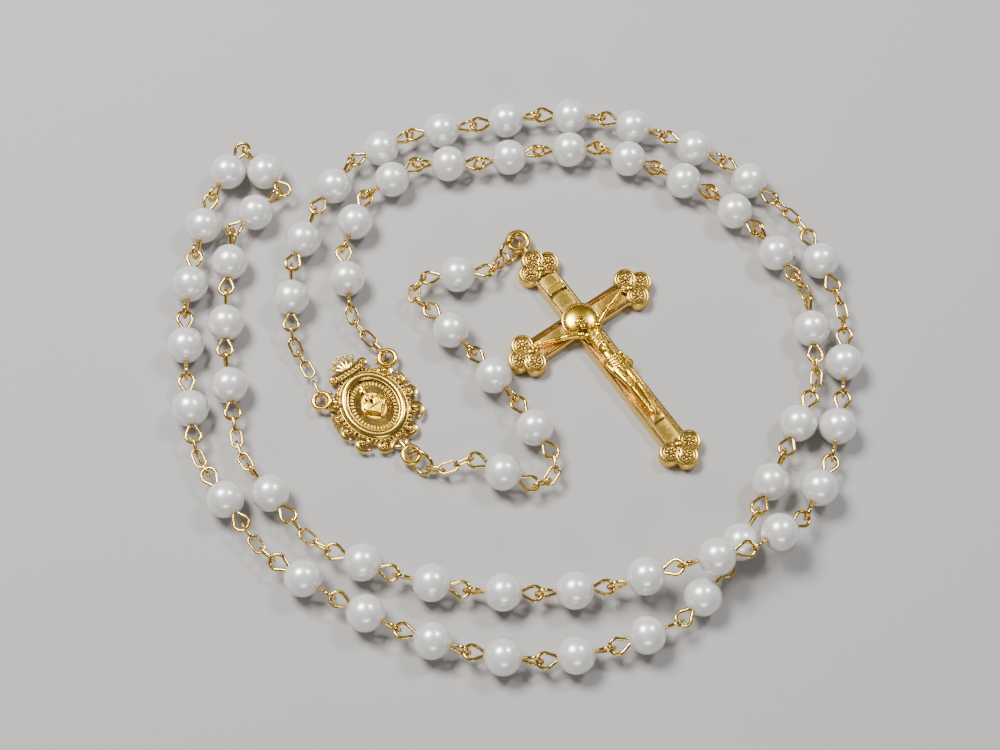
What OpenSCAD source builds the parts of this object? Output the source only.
// A five-decade rosary of pearl beads on gold-plated wire, lying on a flat surface.
// Millimetres, +Z up. The strand is laid in a long double curve; its crucifix lies inside it.

/* [Beads] */
// Diameter of every bead
bead_d = 6; // [5.8:0.05:6.05]
// Bore through every bead
bead_bore = 0.7; // [0.64:0.01:0.8]

/* [Eye pins] */
// Wire diameter of the eye pins
pin_wire = 0.6; // [0.5:0.02:0.6]
// Bead centre to the outer end of each loop
pin_reach = 6.3; // [6.26:0.01:6.32]
// Outer width of each loop
pin_loop_w = 3; // [2.9:0.05:3.05]
// Gap between a bead and its loops
pin_gap = 0.03; // [0.02:0.01:0.05]

/* [Chain] */
// Wire diameter of the chain's links
link_wire = 0.45; // [0.4:0.01:0.46]
// Outer length of a link
link_len = 3.6; // [3.5:0.05:3.65]
// Outer width of a link
link_w = 2.1; // [2:0.05:2.2]

/* [Oval rings] */
// Wire diameter of the two oval rings
ring_wire = 0.6; // [0.5:0.02:0.62]
// Outer length of each ring
ring_len = 4.7; // [4.6:0.05:4.8]
// Outer width of each ring
ring_w = 3.7; // [3.6:0.05:3.8]

/* [Centre medal] */
// Thickness of the cast plate
medal_plate = 1.5; // [1.2:0.1:1.6]
// Width of the oval picture field
field_w = 8; // [7.6:0.1:8.2]
// Height of the oval picture field
field_h = 10; // [9.6:0.1:10.2]
// Beads round the oval field
rim_beads = 36; // [24:1:40]
// Outer diameter of the medal's three eyes
medal_eye_d = 3.6; // [3.5:0.05:3.7]
// Thickness of those eyes
medal_eye_t = 0.9; // [0.85:0.05:0.95]

/* [Crucifix] */
// Distance from the crossing to the centre of the upper budded end
cross_up = 11.7; // [11.4:0.1:11.9]
// Distance from the crossing to the centre of the lower budded end
cross_down = 26.9; // [26:0.1:28]
// Distance from the crossing to the centre of each side budded end
cross_side = 10.4; // [10:0.1:10.8]
// Width of the arms
arm_w = 4.2; // [3.8:0.1:4.6]
// Thickness of the cross at its raised borders
cross_t = 2; // [1.8:0.1:2.2]
// Depth of the channel along the arms
channel_depth = 0.5; // [0.3:0.1:0.7]
// Radius of each lobe of the budded ends
lobe_r = 1.95; // [1.8:0.05:2]
// Diameter of the disc behind the head
halo_d = 6.4; // [6:0.1:6.8]
// Outer diameter of the crucifix's eye
cross_eye_d = 4.4; // [4.2:0.1:4.5]
// Thickness of that eye
cross_eye_t = 1.2; // [1.1:0.05:1.25]

/* [Hidden] */
$fn = 32;
PEARL = "ivory";
GOLD = "goldenrod";

// Height at which a bead's centre rests
rest_z = bead_d / 2;
// Height of the eyes' middle plane
eye_z = 1.6;
// Link centre to the inner face of its ends
link_hold = link_len / 2 - link_wire;

// Where one loop meets the next, in millimetres, from the medal's right eye round to its left
// eye. Each pair of neighbours holds one bead, and a new list starts where the strand doubles
// back. A joint may have a height of its own, as where decade 4 crosses over decade 2.
DECADES = [
    [[[-24.5, 10.5], [-26, 21.5], [-22.5, 31.5], [-14, 37.5], [-3.5, 37.5], [6.5, 40], [17, 40.5],
      [26.5, 36.5], [35.5, 32], [43, 25], [48.5, 16.5]]],
    [[[50, -4.5], [45, -14.5], [40, -24.5, 3.7], [34.5, -34, 2.3], [27.5, -42, 3.7],
      [17, -46], [6, -48], [-5, -46.5], [-15.5, -43], [-25.5, -38], [-35, -32]]],
    [[[-48.5, -12.5], [-50.5, -1.5], [-51.5, 9.5], [-50.5, 20.5], [-48.5, 31], [-43.5, 41]],
     [[-43.5, 40], [-36, 32]],
     [[-37, 32], [-45, 24.5]],
     [[-44.5, 24.5], [-45, 13.5], [-44.5, 2.5], [-42.5, -8.5]]],
    [[[-26.5, -30.5], [-16, -34.5], [-5, -37], [6, -37.5], [17, -36.5, 3.4], [27.5, -34, 6.4],
      [38.5, -31.5, 7.4], [47.5, -25.5, 4.2], [52.5, -15.5], [55, -4.5], [56, 6.5]]],
    [[[46, 30.5], [38, 38], [28, 43], [17.5, 46.5], [6.5, 47], [-4.5, 45], [-15.5, 43],
      [-25, 38], [-31, 28.5], [-34.5, 18], [-34, 7]]]
];
// The two ends of each single bead between the decades
OUR_FATHERS = [
    [[[50.5, 12.5], [51, 1.5]]],
    [[[-40, -26.5], [-46, -18]]],
    [[[-39.5, -17], [-32.5, -25.5]]],
    [[[55, 14], [51, 24.5]]]
];
// The ends of the pendant's first bead, its three middle beads and its last bead
PENDANT = [
    [[-4.5, -15.5], [5.5, -20]],
    [[8.5, -15], [2.5, -5.5], [-4.5, 3], [-11.5, 10.5]],
    [[-12.5, 16], [-1.5, 17.5]]
];
// Links in each chain round the loop, and along the pendant
LOOP_LINKS = [4, 2, 3, 3, 3, 4, 3, 3, 3, 4];
PENDANT_LINKS = [3, 3, 3, 2];
// How far a chain's middle hangs below its ends
chain_droop = 0.5;
// Where the links of each of the pendant's bent chains meet
PENDANT_BENDS = [
    [[-9.3, -17.1, 2.2], [-6.9, -16.4, 2.5]],
    [[7.7, -19.1, 2.6], [8.7, -17.5, 2.9]],
    [[-14.1, 12.3], [-14, 14.2, 2.9]],
    [[-0.4, 19.1, 1.6]]
];
// Clear space between the last moving link and the link that hangs in the medal's left eye
open_gap = 0.5;
// Moves the whole lay so that its bounding box is centred on the origin
lay_shift = [-2.2, 0.3, 0];

// The medal's place: the middle of its oval field, and its turn on the surface
medal_at = [-20.3, -5.8, 0] + lay_shift;
medal_turn = 36;
top_eye_x = 6.4;
top_eye_y = 5.4;
low_eye_y = -10.6;
// The crucifix's place: its crossing, and its turn on the surface
cross_at = [13.2, 8.9, 0] + lay_shift;
cross_turn = 35;
cross_eye_y = 17.8;
// Headings of the two oval rings, and how far each is rolled about its length
medal_ring_way = -40;
cross_ring_way = 232;
medal_ring_roll = 43;
cross_ring_roll = -43;
// The medal: its frame, its relief and its crown
oval_sides = 48;
rim_w = 1.1;
frame_w = 2.3;
medal_relief = 0.6;
// Scrolls of the frame on the +X side: x, y and radius of each
SCROLLS = [
    [3.9, 4.9, 1.7], [5.6, 2.2, 1.2], [5.9, -0.8, 1.3],
    [5.2, -3.9, 1.5], [3.1, -6.4, 1.5], [1.1, -7.9, 1.3]];
crown_y = 8.6;
crown_w = 6.4;
crown_points = 5;
ray_count = 16;
// The crucifix: its borders, its buds and the places of its parts
border = 0.55;
lobe_out = 1.8;
rosette_r = 0.75;
END_PLACES = [[0, cross_up, 0], [-cross_side, 0, 90], [0, -cross_down, 180], [cross_side, 0, -90]];
neck_y = cross_up + 2;
// The neck stops short of the ring that hangs in the eye
neck_w = 1;
neck_end = cross_eye_y - cross_eye_d / 2 + 0.55;
// The blank title plate over the disc
plaque_w = 3;
plaque_h = 1.2;
plaque_y = 7;
foot_y = -21.5;
hand_x = 8.6;
shoulder_y = -2.2;

function unit(v) = v / norm(v);
function turned(p, a) = [p.x * cos(a) - p.y * sin(a), p.x * sin(a) + p.y * cos(a), p.z];
function along(a) = [cos(a), sin(a), 0];
function middle(a, b) = (a + b) / 2;
function laid(p) = p + lay_shift;
function raised(p) = laid([p.x, p.y, len(p) > 2 ? p.z : rest_z]);

// Eyes and rings, in the part's own frame
function medal_eye(x, y) = medal_at + turned([x, y, eye_z], medal_turn);
right_eye = medal_eye(top_eye_x, top_eye_y);
left_eye = medal_eye(-top_eye_x, top_eye_y);
low_eye = medal_eye(0, low_eye_y);
cross_eye = cross_at + turned([0, cross_eye_y, eye_z], cross_turn);
medal_eye_bore = medal_eye_d - 2 * medal_eye_t;
cross_eye_bore = cross_eye_d - 2 * cross_eye_t;
// A ring's near end stands in the middle of its eye; its far end holds a chain
ring_offset = (ring_len - ring_wire) / 2;
ring_slack = 0.15;
ring_hold = ring_offset + ring_len / 2 - ring_wire - ring_slack;
medal_ring_at = low_eye + ring_offset * along(medal_ring_way);
cross_ring_at = cross_eye + ring_offset * along(cross_ring_way);
medal_ring_end = low_eye + ring_hold * along(medal_ring_way);
cross_ring_end = cross_eye + ring_hold * along(cross_ring_way);

// Beads as pairs of ends: the loop's fifty-four, then the pendant's five
function spans(routes) =
    [for (run = routes) for (k = [0:len(run) - 2]) [raised(run[k]), raised(run[k + 1])]];
LOOP = [for (d = [0:4]) each concat(spans(DECADES[d]), d < 4 ? spans(OUR_FATHERS[d]) : [])];
DROP = spans(PENDANT);
function span_at(span) = middle(span[0], span[1]);
function span_way(span) = unit(span[1] - span[0]);

// A chain: its two ends, the way it leaves and arrives, and its number of links
LOOP_GAPS = [-1, 9, 10, 20, 21, 31, 32, 42, 43, 53];
function toward(a, b) = unit([b.x - a.x, b.y - a.y, 0]);
right_way = toward(right_eye, LOOP[0][0]);
left_way = toward(LOOP[53][1], left_eye);
eye_hold = medal_eye_bore / 2 - 0.1;
left_link_at = left_eye - (eye_hold + link_hold) * left_way;
last_link_end = left_link_at - (link_len / 2 + open_gap + link_wire) * left_way;
LOOP_CHAINS = [for (c = [0:9]) [
    c == 0 ? right_eye + eye_hold * right_way : LOOP[LOOP_GAPS[c]][1],
    c == 9 ? last_link_end : LOOP[LOOP_GAPS[c] + 1][0],
    c == 0 ? right_way : span_way(LOOP[LOOP_GAPS[c]]),
    c == 9 ? left_way : span_way(LOOP[LOOP_GAPS[c] + 1]),
    LOOP_LINKS[c]
]];
DROP_ENDS = [
    [medal_ring_end, DROP[0][0]], [DROP[0][1], DROP[1][0]],
    [DROP[3][1], DROP[4][0]], [DROP[4][1], cross_ring_end]];
DROP_CHAINS = [for (c = [0:3])
    [DROP_ENDS[c][0], DROP_ENDS[c][1], undef, undef, PENDANT_LINKS[c], PENDANT_BENDS[c]]];
// A chain lies along a smooth curve that leaves and arrives the way its neighbours point
function chain_handle(c) = norm(c[1] - c[0]) / 3 + max(0, c[4] * 2 * link_hold - norm(c[1] - c[0])) / 3;
function chain_curve(c, t) =
    let (h = chain_handle(c), sag = [0, 0, chain_droop])
        pow(1 - t, 3) * c[0]
        + 3 * pow(1 - t, 2) * t * (c[0] + h * c[2] - sag)
        + 3 * (1 - t) * pow(t, 2) * (c[1] - h * c[3] - sag)
        + pow(t, 3) * c[1];
// Where link k of a chain meets the link before it
function chain_point(c, k) =
    k == 0 ? c[0] :
    k == c[4] ? c[1] :
    len(c) > 5 ? raised(c[5][k - 1]) : chain_curve(c, k / c[4]);
function link_at(c, k) = middle(chain_point(c, k), chain_point(c, k + 1));
function link_way(c, k) = unit(chain_point(c, k + 1) - chain_point(c, k));

// Puts its child's +X along a way, turned about it by a roll
module aim(at, way, roll = 0) {
    translate(at) rotate([roll, -asin(way.z), atan2(way.y, way.x)]) children();
}

// A closed link with round ends and straight sides, in the XY plane
module oval_link(length, width, wire) {
    r = (width - wire) / 2;
    straight = length - width;
    for (end = [0, 180])
        rotate([0, 0, end]) translate([straight / 2, 0, 0]) rotate([0, 0, -90])
            rotate_extrude(angle = 180) translate([r, 0]) circle(d = wire);
    for (side = [-1, 1])
        translate([-straight / 2, side * r, 0]) rotate([0, 90, 0]) cylinder(h = straight, d = wire);
}

// An eye pin along X, a loop closed against the bead at each end; the first loop may be turned
// a quarter against the last
module eye_pin(quarter) {
    loop_len = pin_reach - bead_d / 2 - pin_gap;
    loop_x = pin_reach - loop_len / 2;
    shaft = bead_d + 2 * pin_gap + pin_wire;
    translate([-shaft / 2, 0, 0]) rotate([0, 90, 0]) cylinder(h = shaft, d = pin_wire);
    translate([loop_x, 0, 0]) oval_link(loop_len, pin_loop_w, pin_wire);
    rotate([quarter ? 90 : 0, 0, 0]) translate([-loop_x, 0, 0]) oval_link(loop_len, pin_loop_w, pin_wire);
}

module bead() {
    rotate([0, 90, 0]) difference() {
        sphere(d = bead_d, $fn = 64);
        cylinder(h = bead_d + 1, d = bead_bore, center = true);
    }
}

// A small roll, different for each piece, so that no two loops lie quite alike
function loose_roll(i) = 12 * sin(67 * i);
// A loop that follows a flat one stands upright: the pin's first, unless its chain has odd links
function gap_before(i) = [for (c = [1:9]) if (LOOP_GAPS[c] == i - 1) LOOP_LINKS[c]];
function stands(i) = i == 0 || len(gap_before(i)) == 0 || gap_before(i)[0] % 2 == 0;
function drop_stands(i) = i == 2 || i == 3;

module beads(spans) {
    color(PEARL) for (span = spans) aim(span_at(span), span_way(span)) bead();
}
module loop_pins(from, to) {
    color(GOLD) for (i = [from:to])
        aim(span_at(LOOP[i]), span_way(LOOP[i]), loose_roll(i)) eye_pin(stands(i));
}
module drop_pin(i) {
    color(GOLD) aim(span_at(DROP[i]), span_way(DROP[i]), loose_roll(i)) eye_pin(drop_stands(i));
}
module chain(c) {
    color(GOLD) for (k = [0:c[4] - 1])
        aim(link_at(c, k), link_way(c, k), k % 2 == 0 ? 90 : 0) oval_link(link_len, link_w, link_wire);
}
module left_eye_link() {
    color(GOLD) aim(left_link_at, left_way, 90) oval_link(link_len, link_w, link_wire);
}
module oval_ring(at, way, roll) {
    color(GOLD) aim(at, along(way), roll) oval_link(ring_len, ring_w, ring_wire);
}

// A cast eye: a round ring lying flat
module cast_eye(outer, thick) {
    rotate_extrude() translate([(outer - thick) / 2, 0]) circle(d = thick);
}

// The medal, flat on its back, its oval field at the origin and its crown along +Y
function oval_point(w, h, a) = [w / 2 * cos(a), h / 2 * sin(a)];
module oval(w, h) {
    polygon([for (k = [0:oval_sides - 1]) oval_point(w, h, 360 * k / oval_sides)]);
}

module medal_frame() {
    linear_extrude(medal_plate) oval(field_w + 2 * frame_w, field_h + 2 * frame_w);
    for (side = [0, 1]) mirror([side, 0, 0]) for (s = SCROLLS)
        translate([s.x, s.y, 0]) cylinder(h = medal_plate + 0.3, r = s.z);
}
module medal_field() {
    difference() {
        linear_extrude(medal_plate + medal_relief) oval(field_w + 2 * rim_w, field_h + 2 * rim_w);
        translate([0, 0, medal_plate + 0.2]) linear_extrude(medal_relief) oval(field_w, field_h);
    }
    for (k = [0:rim_beads - 1]) {
        p = oval_point(field_w + rim_w, field_h + rim_w, 360 * k / rim_beads);
        translate([p.x, p.y, medal_plate + medal_relief]) sphere(d = rim_w / 2);
    }
}
module heart() {
    for (side = [-1, 1]) translate([side * 0.75, 0.35, 0]) cylinder(h = medal_relief, r = 1);
    translate([0, -0.4, 0]) rotate([0, 0, 45]) translate([-1, -1, 0]) cube([2, 2, medal_relief]);
}
module emblem() {
    translate([0, -1, medal_plate + 0.1]) heart();
    for (k = [0:ray_count - 1])
        rotate([0, 0, 360 * (k + 0.5) / ray_count]) translate([2.3, -0.12, medal_plate + 0.1])
            cube([1.1, 0.24, 0.3]);
}
module crown() {
    translate([-crown_w / 2 + 1, crown_y - 2.2, 0]) cube([crown_w - 2, 2.2, medal_plate + 0.4]);
    for (k = [0:crown_points - 1]) {
        a = 90 + (k - (crown_points - 1) / 2) * 26;
        translate([0, crown_y - 1.6, 0]) rotate([0, 0, a]) {
            translate([0, -0.45, 0]) cube([3.5, 0.9, medal_plate]);
            translate([3.6, 0, medal_plate / 2]) sphere(d = 1.3);
        }
    }
}
module medal_eyes() {
    for (p = [[-top_eye_x, top_eye_y], [top_eye_x, top_eye_y], [0, low_eye_y]]) {
        inward = -unit(p) * (medal_eye_d / 2 - medal_eye_t / 2);
        translate([p.x, p.y, eye_z]) cast_eye(medal_eye_d, medal_eye_t);
        translate([p.x + inward.x, p.y + inward.y, 0]) cylinder(h = eye_z, d = medal_eye_t);
    }
}
module centre_medal() {
    color(GOLD) translate(medal_at) rotate([0, 0, medal_turn]) {
        medal_frame();
        medal_field();
        emblem();
        crown();
        medal_eyes();
    }
}

// The crucifix, flat on its back, its crossing at the origin and its top along +Y

// A budded end whose bud points along +Y
module budded_end() {
    for (p = [[-lobe_out, 0], [lobe_out, 0], [0, lobe_out]]) {
        translate([p.x, p.y, 0]) cylinder(h = cross_t, r = lobe_r);
        translate([p.x, p.y, cross_t]) cylinder(h = 0.25, r = lobe_r - border);
        translate([p.x, p.y, cross_t + 0.2]) sphere(r = rosette_r);
    }
    translate([0, -0.2, 0]) cylinder(h = cross_t, r = arm_w / 2);
    translate([0, 0, cross_t + 0.1]) sphere(r = rosette_r);
}
// One arm of the cross along +Y from the crossing, with its channel
module cross_arm(length) {
    difference() {
        translate([-arm_w / 2, 0, 0]) cube([arm_w, length, cross_t]);
        translate([-arm_w / 2 + border, 0, cross_t - channel_depth])
            cube([arm_w - 2 * border, length - lobe_r, cross_t]);
    }
}
module halo() {
    cap_r = 9;
    cylinder(h = cross_t, d = halo_d);
    intersection() {
        translate([0, 0, cross_t + 0.9 - cap_r]) sphere(r = cap_r, $fn = 64);
        cylinder(h = cross_t + 1, d = halo_d);
    }
}
module limb(from, to, r1, r2) {
    way = to - from;
    translate(from) rotate([0, acos(way.z / norm(way)), atan2(way.y, way.x)])
        cylinder(h = norm(way), r1 = r1, r2 = r2);
    translate(from) sphere(r = r1);
    translate(to) sphere(r = r2);
}
module corpus() {
    z = cross_t + 0.1;
    translate([-0.6, -0.9, z + 1]) sphere(r = 1.15);
    limb([0, shoulder_y - 0.4, z + 0.2], [0, -8.6, z + 0.1], 1.5, 1.15);
    limb([0, -9, z], [0.1, -11.8, z], 1.5, 1.35);
    for (side = [-1, 1]) {
        limb([side * 1.3, shoulder_y, z + 0.3], [side * 4.8, -0.9, z + 0.1], 0.75, 0.6);
        limb([side * 4.8, -0.9, z + 0.1], [side * hand_x, 0.5, z - 0.2], 0.55, 0.45);
        limb([side * 0.7, -11.5, z + 0.1], [side * 0.55, -16.2, z + 0.5], 0.85, 0.7);
        limb([side * 0.55, -16.2, z + 0.5], [side * 0.25, foot_y + 1.2, z], 0.7, 0.5);
    }
    translate([-1.1, foot_y, cross_t - channel_depth]) cube([2.2, 1.4, 1.1]);
}
module crucifix() {
    color(GOLD) translate(cross_at) rotate([0, 0, cross_turn]) {
        cross_arm(cross_up);
        rotate([0, 0, 180]) cross_arm(cross_down);
        for (turn = [-90, 90]) rotate([0, 0, turn]) cross_arm(cross_side);
        for (p = END_PLACES) translate([p.x, p.y, 0]) rotate([0, 0, p.z]) budded_end();
        halo();
        corpus();
        translate([-plaque_w / 2, plaque_y - plaque_h / 2, cross_t - channel_depth])
            cube([plaque_w, plaque_h, 0.9]);
        translate([0, cross_eye_y, eye_z]) cast_eye(cross_eye_d, cross_eye_t);
        translate([-neck_w / 2, neck_y, 0]) cube([neck_w, neck_end - neck_y, cross_t]);
    }
}

// Each decade is two strings of five beads, a and b, round the loop from the right eye
HALVES = ["a", "b"];
half_size = 5;
DECADE_FIRST = [0, 11, 22, 33, 44];
function half_name(d, h) = str("decade_", d + 1, HALVES[h]);
function half_first(d, h) = DECADE_FIRST[d] + half_size * h;
function half_beads(d, h) = [for (k = [0:half_size - 1]) LOOP[half_first(d, h) + k]];
DROP_NAMES = ["pendant_our_father_1", "hail_mary_1", "hail_mary_2", "hail_mary_3", "pendant_our_father_2"];

centre_medal();
left_eye_link();
oval_ring(medal_ring_at, medal_ring_way, medal_ring_roll);  // medal_ring
crucifix();
oval_ring(cross_ring_at, cross_ring_way, cross_ring_roll);  // crucifix_ring
for (d = [0:4]) for (h = [0, 1]) {
    beads(half_beads(d, h));
    loop_pins(half_first(d, h), half_first(d, h) + half_size - 1);
}
for (i = [1:4]) {
    beads([LOOP[11 * i - 1]]);
    loop_pins(11 * i - 1, 11 * i - 1);
}
for (c = [1:10]) {
    chain(LOOP_CHAINS[c - 1]);
}
for (i = [0:4]) {
    beads([DROP[i]]);
    drop_pin(i);
}
for (c = [1:4]) {
    chain(DROP_CHAINS[c - 1]);
}
